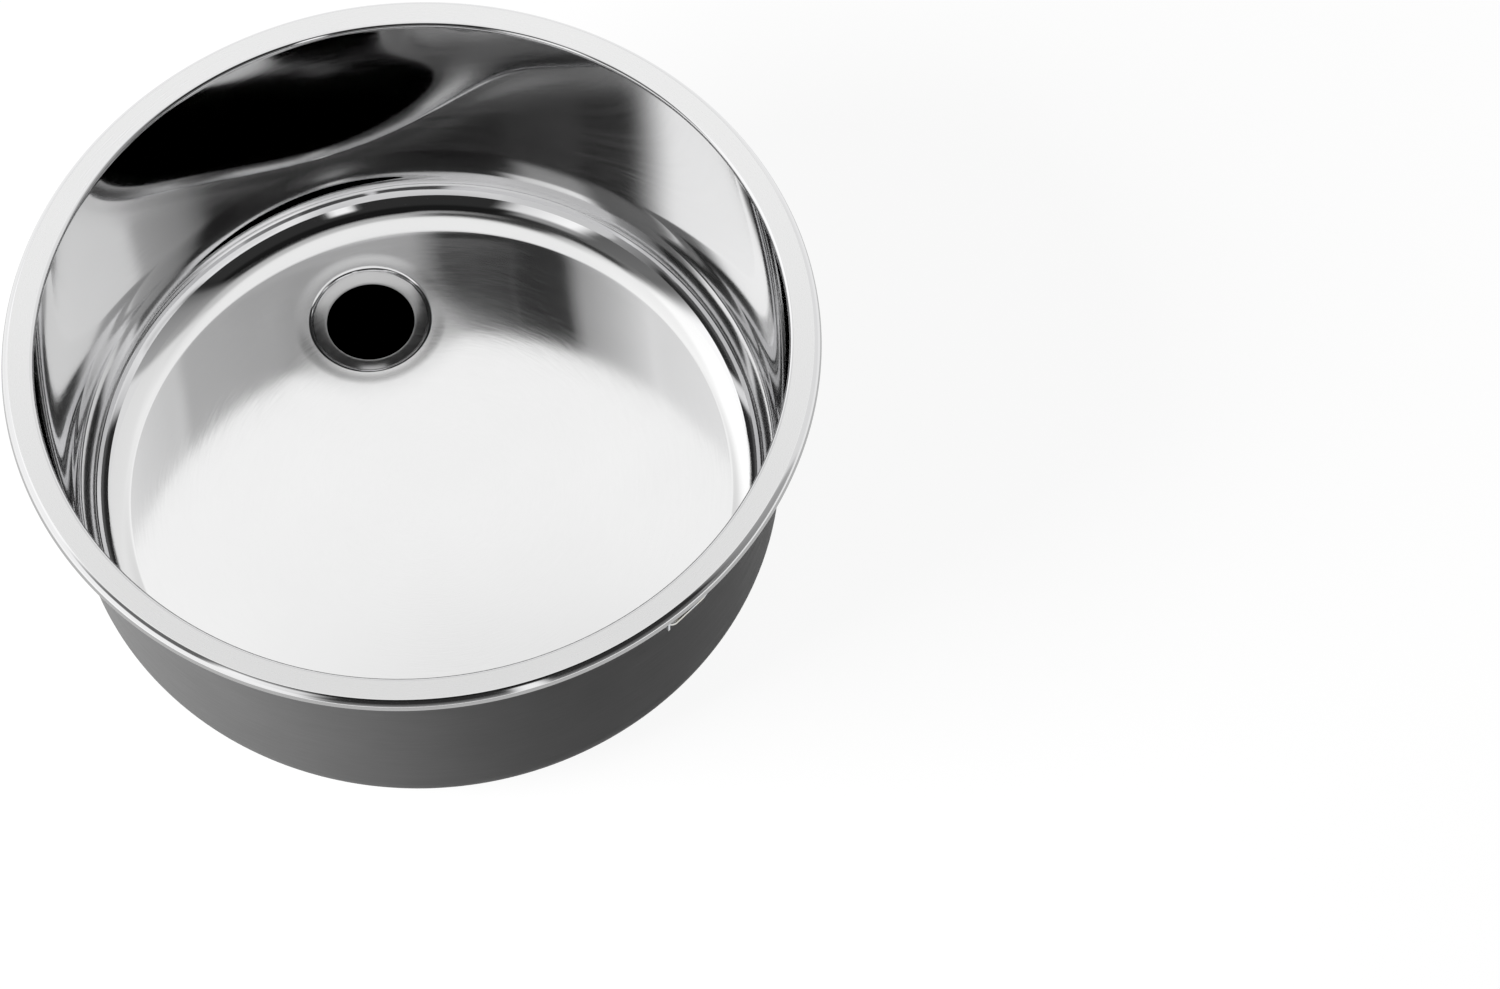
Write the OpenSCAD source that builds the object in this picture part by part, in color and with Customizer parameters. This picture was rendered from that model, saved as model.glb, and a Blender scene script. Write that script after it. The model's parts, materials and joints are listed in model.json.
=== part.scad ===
// Round inset sink bowl, pressed from one sheet of stainless steel, with the seal and the
// four screw clamps that hold it in a worktop. Millimetres, +Z up. The origin is on the
// bowl's own axis, level with the underside of the drain. The drain lies towards +Y.

/* [Bowl] */
// Inside diameter of the bowl at the top of its wall
bowl_d = 405; // [370:1:440]
// Depth from the highest line of the rim to the edge of the floor
bowl_depth = 173.6; // [130:0.1:200]
// Thickness of the pressed sheet
sheet_t = 0.8; // [0.6:0.1:1.2]
// How much the wall's radius shrinks on the way down
wall_draft = 3.0; // [0.5:0.1:5]
// Inside radius between the wall and the floor
corner_r = 32; // [20:0.5:40]
// Slope at which that radius ends and a tighter bend runs out into the floor, in degrees
skirt_a = 12; // [5:0.5:20]
// Radius of that bend
skirt_r = 6; // [4:0.5:16]

/* [Rim] */
// Radius where the wall turns out into the flange
mouth_r = 2.5; // [2:0.1:5]
// Width of the flat flange
flange_w = 11.2; // [10:0.1:20]
// How far the flange falls towards the bowl, so that water runs in
flange_fall = 1.5; // [0:0.1:2.5]
// Radius over which the outer edge rolls down
roll_r = 8.2; // [6:0.1:10]
// Angle above level that the rolled edge faces where it starts at the crease
roll_a = 60; // [45:1:75]
// Angle above level that it faces at its lower end
lip_a = 14; // [8:1:30]
// Radius of the crease between the flange and the rolled edge
crease_r = 0.4; // [0.2:0.1:0.6]

/* [Drain] */
// Diameter of the drain hole
drain_d = 52; // [45:1:60]
// Distance of the drain's axis from the edge of the flat floor behind it
drain_back = 53.2; // [50:0.1:80]
// Width of the flat ring next to the hole
seat_flat = 1.4; // [1:0.1:3]
// Width of the whole seat, from the hole to the foot of the step
seat_w = 7.5; // [5:0.1:9]
// How far the seat rises over that width
seat_rise = 1.8; // [0.5:0.1:2.5]
// Height of the step round the seat
step_drop = 2.0; // [1:0.1:3]
// Radius of the rounded edge at the top of the step
step_round = 3; // [2:0.1:4]
// Radius at the foot of the step
step_foot = 0.6; // [0.4:0.1:1]
// Flat floor left between its edge and the shallow dish that leads to the drain
dish_edge = 7.4; // [1.5:0.1:12]
// Depth of the dish
dish_drop = 0.3; // [0.1:0.1:2.5]

/* [Seal] */
// Width of the foam strip under the flange
seal_w = 3; // [2:0.1:5]
// Glue line above the strip
seal_gap = 0.2; // [0.1:0.05:0.3]
// Clearance between the strip and the rim's rolled edge
seal_edge_gap = 0.4; // [0.3:0.1:0.8]

/* [Clamps] */
// Angle of the first clamp, counted from +X; the others follow every quarter turn
clamp_angle = 22.5; // [15:0.5:30]
// Clearance between a stowed arm and the bowl's outer wall
claw_wall_gap = 0.3; // [0.3:0.1:1.5]
// Diameter of the clamp screw
screw_d = 4; // [3.5:0.1:4.2]
// Length of the screw under its head
screw_len = 25; // [22:0.5:26]
// Diameter of the screw head
head_d = 7; // [6.5:0.1:8]
// Height of the screw head
head_h = 2.4; // [2:0.1:2.6]
// Running clearance on the screw and on the collar, per side
run_gap = 0.05; // [0.02:0.01:0.1]
// End play between the pieces stacked on a screw
end_gap = 0.15; // [0.1:0.05:0.2]
// Gap between the welded nut and the collar of a stowed clamp
stow_gap = 1.75; // [1.3:0.05:3]
// Thickness of the clamp arm
claw_t = 2; // [1.5:0.1:2.2]
// Length of the arm from the screw's axis to its tip
claw_len = 29; // [24:0.5:32]
// Radius of the arm's round end
claw_hub_r = 4.4; // [4.2:0.1:5]
// How far the stowed arm is turned in towards the wall, in degrees
claw_tuck = 4; // [2:0.5:5]
// Height of the teeth at the tip
tooth_h = 1.6; // [1:0.1:2]
// Wall of the spigot that the arm turns on
spigot_wall = 0.95; // [0.8:0.05:1]
// Height of the collar's flange
collar_t = 1; // [0.8:0.1:1.2]
// Thickness of the bracket's sheet
bracket_t = 1.2; // [1:0.1:1.5]
// Width of a bracket round the wall
bracket_w = 26; // [20:0.5:32]
// Height of a bracket's back plate
bracket_h = 15; // [12:0.5:16]
// How far under the rim the bracket's shelf lies
shelf_down = 23; // [22:0.1:26]
// Width across the flats of the welded nut
nut_af = 7; // [6.5:0.1:7.2]
// Height of the welded nut
nut_h = 3.2; // [2.8:0.1:3.4]

/* [Earth tag] */
// Angle of the tag, counted from +X
tag_angle = 62; // [50:1:80]
// Diameter of the tag's hole
tag_hole_d = 5.3; // [4.3:0.1:6.4]
// Width of the tag
tag_w = 14; // [12:0.5:18]
// How far the tag's foot stands off the wall
tag_step = 3; // [2:0.1:4]

/* [Sound pad] */
// Length of the pad under the floor
pad_l = 200; // [120:1:205]
// Width of the pad
pad_w = 120; // [80:1:124]
// Thickness of the pad
pad_t = 2.5; // [1.5:0.1:3.5]
// Corner radius of the pad
pad_r = 18; // [5:1:30]

/* [Detail] */
// Facets of a full round
$fn = 96; // [48:8:192]
// Steps along one bend of a profile
bend_n = 10; // [6:1:16]
// Steps across the dish of the drain
dish_n = 16; // [8:1:32]

/* [Hidden] */
floor_z = sheet_t + seat_rise + step_drop + dish_drop;
rim_z = floor_z + bowl_depth;
wall_r = bowl_d / 2;
wall_out_r = wall_r + sheet_t;
foot_r = wall_r - wall_draft;
corner_x = foot_r - corner_r;
corner_z = floor_z + skirt_r + (corner_r - skirt_r) * cos(skirt_a);
floor_r = corner_x + (corner_r - skirt_r) * sin(skirt_a);
flange_in_r = wall_r + mouth_r;
flange_out_r = flange_in_r + flange_w;
flange_in_z = rim_z - flange_fall;
flange_a = atan(flange_fall / flange_w);
wall_top_z = flange_in_z - mouth_r;
draft_a = atan(wall_draft / (wall_top_z - corner_z));
crease_x = flange_out_r - crease_r;
crease_z = rim_z - crease_r;
roll_x = crease_x - (roll_r - crease_r) * cos(roll_a);
roll_z = crease_z - (roll_r - crease_r) * sin(roll_a);
lip_r = roll_x + roll_r * cos(lip_a);
lip_z = roll_z + roll_r * sin(lip_a);
under_a = asin(roll_r * sin(lip_a) / (roll_r - sheet_t));

drain_r = drain_d / 2;
seat_r = drain_r + seat_w;
seat_z = sheet_t + seat_rise;
seat_a = atan(seat_rise / (seat_w - seat_flat));
step_a = acos((step_round + step_foot * cos(seat_a) - step_drop) / (step_round + step_foot));
step_r = seat_r + step_foot * (sin(step_a) - sin(seat_a)) + step_round * sin(step_a);
dish_r = drain_back - dish_edge;
dish_lap = 1;
drain_y = floor_r - drain_back;

seal_out_r = flange_out_r - sheet_t - seal_edge_gap;
seal_in_r = seal_out_r - seal_w;

clamp_reach = claw_wall_gap + claw_hub_r;
bore_r = screw_d / 2 + run_gap;
spigot_r = bore_r + spigot_wall;
shelf_z = rim_z - shelf_down;
nut_z = shelf_z - bracket_t - nut_h;
collar_z = nut_z - stow_gap - collar_t;
claw_z = collar_z - end_gap - claw_t;
head_z = claw_z - end_gap - head_h;
clamp_r = wall_out_at(claw_z + claw_t) + clamp_reach;
bracket_gap = 0.2;
bracket_in_r = wall_out_at(shelf_z + bracket_h) + bracket_gap;
bracket_bend_r = 0.8;
shelf_hole_gap = 0.6;
shelf_hole_r = screw_d / 2 + shelf_hole_gap;
shelf_end_r = clamp_r + claw_hub_r;
cheek_gap = 0.4;
cheek_y = claw_hub_r + cheek_gap;
cheek_over = 0.8;
cheek_drop = shelf_z - claw_z + cheek_over;
weld_r = 1.6;
weld_h = 0.35;
weld_up = bracket_h * 0.6;
weld_y = bracket_w / 3;
weld_x = bracket_in_r + bracket_t - clamp_r - weld_h;
claw_tip_in = 2.2;
claw_tip_out = 2.6;
claw_taper_x = claw_len * 0.69;
tooth_n = 3;
collar_lip = 1;
groove_start = 3;
groove_end = 6;
groove_w = 1.6;
groove_depth = 0.5;
head_round = 1;
recess_d = 1.1;
recess_w = 0.9;
recess_l = 4.2;
tag_t = 1.2;
tag_top = 12;
tag_lap = 12;
tag_foot = 16;
tag_hole_up = 7;
tag_corner = 3;
pad_gap = 0.1;
pad_clear = 45;
pad_y = drain_y - dish_r - pad_clear - pad_w / 2;
foot_n = 4;
skirt_n = 3;
crease_n = 4;
eps = 0.01;

steel = [0.80, 0.80, 0.79];
zinc = [0.70, 0.71, 0.72];
foam = [0.22, 0.22, 0.23];
bitumen = [0.30, 0.29, 0.28];

// Points on an arc in the profile plane, from angle a to angle b
function arc(x, z, r, a, b, n = bend_n) =
    [for (i = [0:n]) [x + r * cos(a + (b - a) * i / n), z + r * sin(a + (b - a) * i / n)]];

// The same list without its first point
function tail(list) = [for (i = [1:len(list) - 1]) list[i]];

// Outer radius of the drafted wall at a height
function wall_out_at(z) = wall_out_r - (wall_top_z - z) * tan(draft_a);

// The drain's upper line from the hole outwards: radius, height and slope of each point
function drain_line() = concat(
    [[drain_r, sheet_t, 0]],
    [[drain_r + seat_flat, sheet_t, 0]],
    [for (i = [0:foot_n])
        let (a = seat_a + (step_a - seat_a) * i / foot_n)
        [seat_r + step_foot * (sin(a) - sin(seat_a)), seat_z + step_foot * (cos(seat_a) - cos(a)), a]],
    [for (i = [1:bend_n])
        let (a = step_a * (1 - i / bend_n))
        [step_r - step_round * sin(a), floor_z - dish_drop - step_round * (1 - cos(a)), a]],
    [for (i = [1:dish_n])
        let (u = i / dish_n)
        [step_r + (dish_r - step_r) * u, floor_z - dish_drop * (1 + cos(180 * u)) / 2,
            atan(dish_drop * PI / 2 * sin(180 * u) / (dish_r - step_r))]],
    [[dish_r + dish_lap, floor_z, 0]]);

// Places a child at clamp number i, with X pointing away from the bowl
module at_clamp(i) {
    rotate([0, 0, clamp_angle + 90 * i])
        translate([clamp_r, 0, 0])
            children();
}

// The sheet's section from the axis to the rolled edge of the rim
module shell_section() {
    upper = concat(
        [[0, floor_z]],
        arc(floor_r, floor_z + skirt_r, skirt_r, -90, skirt_a - 90, skirt_n),
        tail(arc(corner_x, corner_z, corner_r, skirt_a - 90, -draft_a)),
        arc(flange_in_r, wall_top_z, mouth_r, 180 - draft_a, 90 + flange_a),
        arc(crease_x, crease_z, crease_r, 90, roll_a, crease_n),
        tail(arc(roll_x, roll_z, roll_r, roll_a, lip_a)));
    lower = concat(
        arc(roll_x, roll_z, roll_r - sheet_t, under_a, roll_a),
        arc(flange_in_r, wall_top_z, mouth_r - sheet_t, 90 + flange_a, 180 - draft_a),
        arc(corner_x, corner_z, corner_r + sheet_t, -draft_a, skirt_a - 90),
        tail(arc(floor_r, floor_z + skirt_r, skirt_r + sheet_t, skirt_a - 90, -90, skirt_n)),
        [[0, floor_z - sheet_t]]);
    polygon(concat(upper, lower));
}

// The dish, the step and the seat of the drain, as a section round the drain's own axis
module drain_section() {
    line = drain_line();
    last = len(line) - 1;
    polygon(concat(
        [for (p = line) [p[0], p[1]]],
        [for (i = [last:-1:0])
            [line[i][0] + sheet_t * sin(line[i][2]), line[i][1] - sheet_t * cos(line[i][2])]]));
}

module bowl_shell() {
    color(steel)
        union() {
            difference() {
                rotate_extrude()
                    shell_section();
                translate([0, drain_y, floor_z - 2 * sheet_t])
                    cylinder(r = dish_r, h = 3 * sheet_t);
            }
            translate([0, drain_y, 0])
                rotate_extrude()
                    drain_section();
        }
}

// A foam strip that fills the hollow under the flange down to the worktop
module rim_seal() {
    slope = flange_fall / flange_w;
    top = rim_z - sheet_t - seal_gap;
    color(foam)
        rotate_extrude()
            polygon([
                [seal_in_r, lip_z],
                [seal_out_r, lip_z],
                [seal_out_r, top - slope * (flange_out_r - seal_out_r)],
                [seal_in_r, top - slope * (flange_out_r - seal_in_r)]
            ]);
}

// A damping pad glued under the floor, clear of the drain
module sound_pad() {
    color(bitumen)
        translate([0, pad_y, floor_z - sheet_t - pad_gap - pad_t])
            linear_extrude(height = pad_t) {
                square([pad_l - 2 * pad_r, pad_w], center = true);
                square([pad_l, pad_w - 2 * pad_r], center = true);
                for (x = [-1, 1], y = [-1, 1])
                    translate([x * (pad_l / 2 - pad_r), y * (pad_w / 2 - pad_r)])
                        circle(r = pad_r);
            }
}

// A joggled lug for the earth lead, welded to the outside of the wall
module earth_tag() {
    top_z = rim_z - tag_top;
    in_x = wall_out_at(top_z) + bracket_gap;
    joggle_z = top_z - tag_lap;
    low_z = joggle_z - tag_step - tag_foot;
    color(zinc)
        rotate([0, 0, tag_angle])
            difference() {
                rotate([90, 0, 0])
                    linear_extrude(height = tag_w, center = true)
                        polygon([
                            [in_x, top_z],
                            [in_x, joggle_z],
                            [in_x + tag_step, joggle_z - tag_step],
                            [in_x + tag_step, low_z],
                            [in_x + tag_step + tag_t, low_z],
                            [in_x + tag_step + tag_t, joggle_z - tag_step + tag_t / 2],
                            [in_x + tag_t, joggle_z + tag_t / 2],
                            [in_x + tag_t, top_z]
                        ]);
                translate([in_x, 0, low_z + tag_hole_up])
                    rotate([0, 90, 0])
                        cylinder(d = tag_hole_d, h = 3 * (tag_step + tag_t), center = true);
                for (s = [-1, 1])
                    translate([in_x + tag_step / 2, s * tag_w / 2, low_z])
                        rotate([45, 0, 0])
                            cube([3 * tag_step, tag_corner, tag_corner], center = true);
            }
}

// A welded angle with a shelf for the screw and a cheek that stops the swinging arm
module bracket(i) {
    sweep = bracket_w / bracket_in_r * 180 / PI;
    color(zinc)
        difference() {
            union() {
                rotate([0, 0, clamp_angle + 90 * i - sweep / 2])
                    rotate_extrude(angle = sweep)
                        polygon(concat(
                            [[bracket_in_r, shelf_z + bracket_h]],
                            arc(bracket_in_r + bracket_bend_r + bracket_t, shelf_z + bracket_bend_r,
                                bracket_bend_r + bracket_t, 180, 270, 4),
                            [[shelf_end_r, shelf_z - bracket_t]],
                            [[shelf_end_r, shelf_z]],
                            arc(bracket_in_r + bracket_bend_r + bracket_t, shelf_z + bracket_bend_r,
                                bracket_bend_r, 270, 180, 4),
                            [[bracket_in_r + bracket_t, shelf_z + bracket_h]]));
                at_clamp(i)
                    translate([-clamp_reach + bracket_t, -cheek_y - bracket_t, shelf_z - cheek_drop])
                        cube([clamp_reach - bracket_t + claw_hub_r, bracket_t, cheek_drop]);
                at_clamp(i)
                    for (y = [-1, 1])
                        translate([weld_x, y * weld_y, shelf_z + weld_up])
                            rotate([0, 90, 0])
                                cylinder(r = weld_r, h = 2 * weld_h);
            }
            at_clamp(i)
                translate([0, 0, shelf_z - 2 * bracket_t])
                    cylinder(r = shelf_hole_r, h = 3 * bracket_t);
        }
}

// The four hexagon nuts welded under the brackets' shelves
module weld_nuts() {
    color(zinc)
        for (i = [0:3])
            at_clamp(i)
                translate([0, 0, nut_z])
                    difference() {
                        rotate([0, 0, 30])
                            cylinder(d = nut_af / cos(30), h = nut_h, $fn = 6);
                        translate([0, 0, -eps])
                            cylinder(r = bore_r, h = nut_h + 2 * eps);
                    }
}

// A shouldered collar on the screw: the arm turns on its spigot
module collar(i) {
    color(zinc)
        at_clamp(i)
            difference() {
                union() {
                    translate([0, 0, claw_z - end_gap / 2])
                        cylinder(r = spigot_r, h = claw_t + 1.5 * end_gap);
                    translate([0, 0, collar_z])
                        cylinder(r = spigot_r + collar_lip, h = collar_t);
                }
                translate([0, 0, claw_z - end_gap])
                    cylinder(r = bore_r, h = claw_t + collar_t + 4 * end_gap);
            }
}

// The flat outline of the arm, along X from the screw's axis
module claw_outline() {
    circle(r = claw_hub_r);
    polygon([
        [0, -claw_hub_r],
        [claw_taper_x, -claw_hub_r],
        [claw_len, -claw_tip_out],
        [claw_len, claw_tip_in],
        [0, claw_hub_r]
    ]);
}

// The swinging arm, stowed along the wall, with teeth that bite the worktop's underside
module claw(i) {
    tip_w = claw_tip_in + claw_tip_out;
    pitch = tip_w / tooth_n;
    color(zinc)
        at_clamp(i)
            rotate([0, 0, 90 + claw_tuck])
                translate([0, 0, claw_z])
                    difference() {
                        union() {
                            linear_extrude(height = claw_t)
                                claw_outline();
                            translate([claw_len - claw_t, -claw_tip_out, claw_t])
                                rotate([90, 0, 90])
                                    linear_extrude(height = claw_t)
                                        polygon(concat(
                                            [[0, -eps]],
                                            [[tip_w, -eps]],
                                            [for (k = [2 * tooth_n:-1:0])
                                                [k * pitch / 2, k % 2 == 0 ? 0 : tooth_h]]));
                        }
                        translate([0, 0, -eps])
                            cylinder(r = spigot_r + run_gap, h = claw_t + 2 * eps);
                        translate([claw_hub_r + groove_start, -groove_w / 2, claw_t - groove_depth])
                            cube([claw_len - claw_hub_r - groove_start - groove_end, groove_w, claw_t]);
                    }
}

// The clamp screw, with its cross slot facing down
module screw(i) {
    color(zinc)
        at_clamp(i)
            difference() {
                union() {
                    translate([0, 0, head_z])
                        rotate_extrude()
                            polygon(concat(
                                [[0, 0]],
                                arc(head_d / 2 - head_round, head_round, head_round, -90, 0, 5),
                                [[head_d / 2, head_h], [0, head_h]]));
                    translate([0, 0, head_z + head_h])
                        cylinder(d = screw_d, h = screw_len);
                }
                for (a = [0, 90])
                    rotate([0, 0, a])
                        translate([-recess_l / 2, -recess_w / 2, head_z - eps])
                            cube([recess_l, recess_w, recess_d]);
            }
}

module bracket_right() { bracket(0); }
module bracket_back() { bracket(1); }
module bracket_left() { bracket(2); }
module bracket_front() { bracket(3); }
module collar_right() { collar(0); }
module collar_back() { collar(1); }
module collar_left() { collar(2); }
module collar_front() { collar(3); }
module claw_right() { claw(0); }
module claw_back() { claw(1); }
module claw_left() { claw(2); }
module claw_front() { claw(3); }
module screw_right() { screw(0); }
module screw_back() { screw(1); }
module screw_left() { screw(2); }
module screw_front() { screw(3); }

bowl_shell();
rim_seal();
sound_pad();
earth_tag();
weld_nuts();
bracket_right();
bracket_back();
bracket_left();
bracket_front();
collar_right();
collar_back();
collar_left();
collar_front();
claw_right();
claw_back();
claw_left();
claw_front();
screw_right();
screw_back();
screw_left();
screw_front();
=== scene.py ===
"""Round inset sink bowl on a white studio floor: pressed steel shell, clamps, seal and pad."""
import json
import math

import bmesh
import bpy
from bpy.props import FloatProperty, FloatVectorProperty, IntProperty, PointerProperty
from mathutils import Matrix, Vector


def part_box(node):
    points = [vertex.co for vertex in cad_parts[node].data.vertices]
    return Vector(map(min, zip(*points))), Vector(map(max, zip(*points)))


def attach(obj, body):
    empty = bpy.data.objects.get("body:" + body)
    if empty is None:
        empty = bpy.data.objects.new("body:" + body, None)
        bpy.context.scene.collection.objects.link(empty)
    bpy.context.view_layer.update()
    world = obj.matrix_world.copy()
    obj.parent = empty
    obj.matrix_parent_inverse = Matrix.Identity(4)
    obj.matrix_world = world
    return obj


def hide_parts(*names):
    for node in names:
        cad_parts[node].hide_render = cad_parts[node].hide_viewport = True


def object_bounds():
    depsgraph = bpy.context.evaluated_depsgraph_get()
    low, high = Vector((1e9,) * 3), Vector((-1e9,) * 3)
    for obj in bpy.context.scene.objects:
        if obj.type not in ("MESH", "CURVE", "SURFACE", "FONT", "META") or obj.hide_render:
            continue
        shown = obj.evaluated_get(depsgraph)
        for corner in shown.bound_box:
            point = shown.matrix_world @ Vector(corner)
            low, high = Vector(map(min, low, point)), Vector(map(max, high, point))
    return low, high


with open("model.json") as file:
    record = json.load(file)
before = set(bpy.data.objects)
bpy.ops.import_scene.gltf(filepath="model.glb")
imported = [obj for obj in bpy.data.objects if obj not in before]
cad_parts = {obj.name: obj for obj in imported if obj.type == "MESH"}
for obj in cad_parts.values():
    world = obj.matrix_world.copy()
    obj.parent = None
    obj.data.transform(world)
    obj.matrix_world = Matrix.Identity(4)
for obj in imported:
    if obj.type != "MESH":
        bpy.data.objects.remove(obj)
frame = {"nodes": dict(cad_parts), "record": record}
CAD_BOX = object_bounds()

bl_info = {
    "name": "Round Inset Sink Bowl",
    "version": (1, 0, 0),
    "blender": (4, 5, 0),
    "location": "3D View > Sidebar > Sink Bowl",
    "description": "Builds the shell, the finishes and the studio of a round inset sink bowl",
    "category": "Add Mesh",
}

SIDES = ("right", "back", "left", "front")
PLATED = {"bracket", "collar", "claw", "earth"}
MOUNTS = {m["name"]: m for m in frame["record"]["mounts"]}
DRAIN = MOUNTS["waste_bore"]
RIM_Z = CAD_BOX[1].z

# Rings of the shell's section, counted along each of its bends
DISH_STEPS, STEP_STEPS, FOOT_STEPS = 16, 12, 4
LIP_STEPS, EDGE_STEPS, CREASE_STEPS, MOUTH_STEPS, CORNER_STEPS = 5, 10, 5, 14, 24
RING_STEPS, SKIRT_STEPS, FLOOR_STEPS, UNDER_MOUTH_STEPS, UNDER_ROLL_STEPS = 10, 6, 9, 10, 12

# Where rings stand on straight runs, as shares of their length; the outer ones hold the shading
FLANGE_SHARES = (0.03, 0.3, 0.7, 0.97)
WALL_SHARES = (0.01, 0.1, 0.2, 0.3, 0.4, 0.5, 0.6, 0.7, 0.8, 0.9, 0.99)

# Degrees of the rolled edge, from its lower end, that stay dull and take the darker lip colour,
# which is painted shade
LIP_TURN = 16

# Edges that bend by more than this many degrees stay sharp
SHELL_SHARP, METAL_SHARP, NUT_SHARP, SOFT_SHARP = 50.0, 35.0, 25.0, 60.0

# Faces round a screw and a nut, rings per pitch of the thread, steps of the head's rounded edge
THREAD_AROUND, NUT_AROUND, THREAD_STEPS, HEAD_STEPS = 32, 72, 8, 6

# Small edge on top of the screw's head, and how far the cross's cutter stands out below it
HEAD_BREAK, CUTTER_STAND = 0.0001, 0.001

# Thread: how fast it runs out at the tip, the slope of its flanks and the width of its root
TIP_FADE, FLANK_SLOPE, ROOT_WIDTH = 0.8, 1.5, 0.2

# Nut: radius of its flat end as a share of half its width, and the slope of its chamfer
NUT_FACE, NUT_CHAMFER = 0.97, math.pi / 6

# Points of the nuts that are closer than this are joined
WELD = 1e-7

# Foam strip: pieces round it, how much its width shrinks, in how many waves, and how these drift
SEAL_AROUND = 240
SEAL_SHRINK, SEAL_WAVES, DRIFT, DRIFT_WAVES = 0.02, 37, 2, 5

# Steps of the soft parts' rounded edges and of the pad's corners
SOFT_EDGE_STEPS, PAD_CORNER_STEPS = 4, 12

# Faces round a disc of the studio, heights of its floor and of the dark disc under the drain, and
# that disc's radius
DISC_AROUND = 96
FLOOR_Z, SHADE_Z, SHADE_R = -0.0006, -0.0003, 0.034

# How much of the floor's look is its own glow, and how strong that is
FLOOR_SHARE, FLOOR_GLOW = 0.86, 1.07


# Settings

class BowlSizes(bpy.types.PropertyGroup):
    wall_r: FloatProperty(
        name="Wall radius", description="Inside radius at the top of the wall",
        default=0.2025, unit="LENGTH")
    wall_draft: FloatProperty(
        name="Wall draft", description="How much the radius shrinks down to the corner",
        default=0.003, unit="LENGTH")
    sheet: FloatProperty(
        name="Sheet", description="Thickness of the pressed sheet", default=0.0008, unit="LENGTH")
    mouth_r: FloatProperty(
        name="Mouth radius", description="Radius where the wall turns out into the flange",
        default=0.0025, unit="LENGTH")
    flange_w: FloatProperty(
        name="Flange width", description="Width of the flat flange", default=0.0112, unit="LENGTH")
    roll_r: FloatProperty(
        name="Roll radius", description="Radius over which the outer edge rolls down",
        default=0.0082, unit="LENGTH")
    roll_a: FloatProperty(
        name="Roll start", description="Angle above level that the rolled edge faces at the crease",
        default=math.radians(60), subtype="ANGLE")
    lip_a: FloatProperty(
        name="Roll end", description="Angle above level that it faces at its lower end",
        default=math.radians(14), subtype="ANGLE")
    crease_r: FloatProperty(
        name="Crease radius", description="Radius between the flange and its rolled edge",
        default=0.0004, unit="LENGTH")
    flange_fall: FloatProperty(
        name="Flange fall", description="How far the flange falls towards the bowl",
        default=0.0015, unit="LENGTH")
    corner_r: FloatProperty(
        name="Corner radius", description="Inside radius between the wall and the floor",
        default=0.032, unit="LENGTH")
    skirt_a: FloatProperty(
        name="Skirt slope", description="Slope at which the corner ends and a tighter bend begins",
        default=math.radians(12), subtype="ANGLE")
    skirt_r: FloatProperty(
        name="Skirt radius", description="Radius of the tighter bend that runs out into the floor",
        default=0.006, unit="LENGTH")
    ring_turn: FloatProperty(
        name="Satin ring", description="How far up the corner the floor's satin finish reaches",
        default=math.radians(33), subtype="ANGLE")
    seat_flat: FloatProperty(
        name="Seat flat", description="Width of the flat ring next to the hole",
        default=0.0014, unit="LENGTH")
    seat_w: FloatProperty(
        name="Seat width", description="Width of the whole seat round the hole",
        default=0.0075, unit="LENGTH")
    seat_rise: FloatProperty(
        name="Seat rise", description="How far the seat rises over its width",
        default=0.0018, unit="LENGTH")
    step_drop: FloatProperty(
        name="Drain step", description="Height of the step round the seat",
        default=0.002, unit="LENGTH")
    step_round: FloatProperty(
        name="Step edge", description="Radius of the rounded edge at the top of the step",
        default=0.003, unit="LENGTH")
    step_foot: FloatProperty(
        name="Step foot", description="Radius at the foot of the step",
        default=0.0006, unit="LENGTH")
    dish_drop: FloatProperty(
        name="Dish", description="Depth of the shallow dish round the drain",
        default=0.0003, unit="LENGTH")
    dish_edge: FloatProperty(
        name="Dish edge", description="Flat floor left between its edge and the dish",
        default=0.0074, unit="LENGTH")
    around: IntProperty(
        name="Around", description="Faces in a full turn of the shell", default=288, min=48)
    polished: FloatVectorProperty(
        name="Polished steel", description="Colour of the polished wall",
        default=(0.80, 0.80, 0.805), subtype="COLOR")
    satin: FloatVectorProperty(
        name="Satin steel", description="Colour of the flange and the floor",
        default=(0.83, 0.83, 0.83), subtype="COLOR")
    ring: FloatVectorProperty(
        name="Drain ring", description="Colour of the ring round the hole, duller than the floor",
        default=(0.56, 0.56, 0.56), subtype="COLOR")
    # Partly painted shade: the lip's colour is darkened to stand for the dark surroundings that the
    # rim's lowest edge mirrors; its dull finish is its own
    lip: FloatVectorProperty(
        name="Dull lip with painted shade", description="Colour of the rim's lowest edge, barely reached by the wheel",
        default=(0.42, 0.42, 0.42), subtype="COLOR")
    # Partly painted shade: the outside's dark grey, with its metal and reflection turned down,
    # stands for the dark surroundings it mirrors; its dull unpolished finish is its own
    outside: FloatVectorProperty(
        name="Unpolished steel with painted shade", description="Colour of the outside as it left the press",
        default=(0.17, 0.17, 0.17), subtype="COLOR")


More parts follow.
